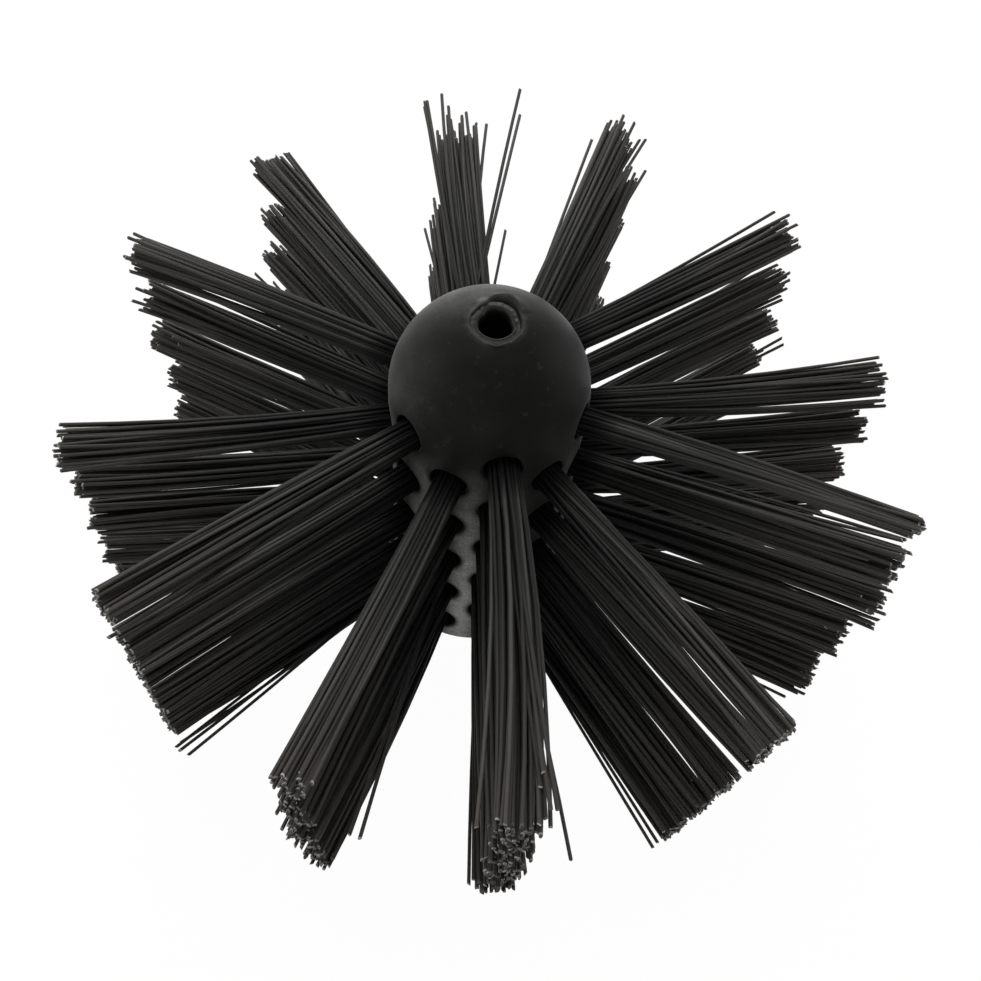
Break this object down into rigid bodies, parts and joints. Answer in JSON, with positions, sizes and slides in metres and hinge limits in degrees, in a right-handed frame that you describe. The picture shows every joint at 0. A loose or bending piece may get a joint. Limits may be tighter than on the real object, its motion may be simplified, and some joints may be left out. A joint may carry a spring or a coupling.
{
  "type": "rotary chimney brush head",
  "caption": "Rotary chimney and flue brush head: moulded hub with a ball nose, staggered lengthwise rows of stiff radial bristle tufts, and a rear socket for a drive rod.",
  "frame": {"origin": "centre of the flat rear face, where the hub stands and the drive rod enters", "axes": "+Z along the hub from the rear face to the ball nose; -Y towards the row of tufts that is nearest the viewer in the picture; +X to its right"},
  "size_m": [0.1, 0.0999, 0.055],
  "materials": {
    "hub_plastic": "satin charcoal moulded plastic, lighter and dustier on the lands between the tufts",
    "bristle_nylon": "near-black nylon filament with a soft sheen, cut ends lighter",
    "sleeve_metal": "blackened turned steel"
  },
  "bodies": {
    "root": {"hub": "hub_plastic", "threaded_sleeve": "sleeve_metal", "bristle_row_01": "bristle_nylon", "bristle_row_02": "bristle_nylon", "bristle_row_03": "bristle_nylon", "bristle_row_04": "bristle_nylon", "bristle_row_05": "bristle_nylon", "bristle_row_06": "bristle_nylon", "bristle_row_07": "bristle_nylon", "bristle_row_08": "bristle_nylon", "bristle_row_09": "bristle_nylon", "bristle_row_10": "bristle_nylon", "bristle_row_11": "bristle_nylon", "bristle_row_12": "bristle_nylon"}
  },
  "joints": []
}
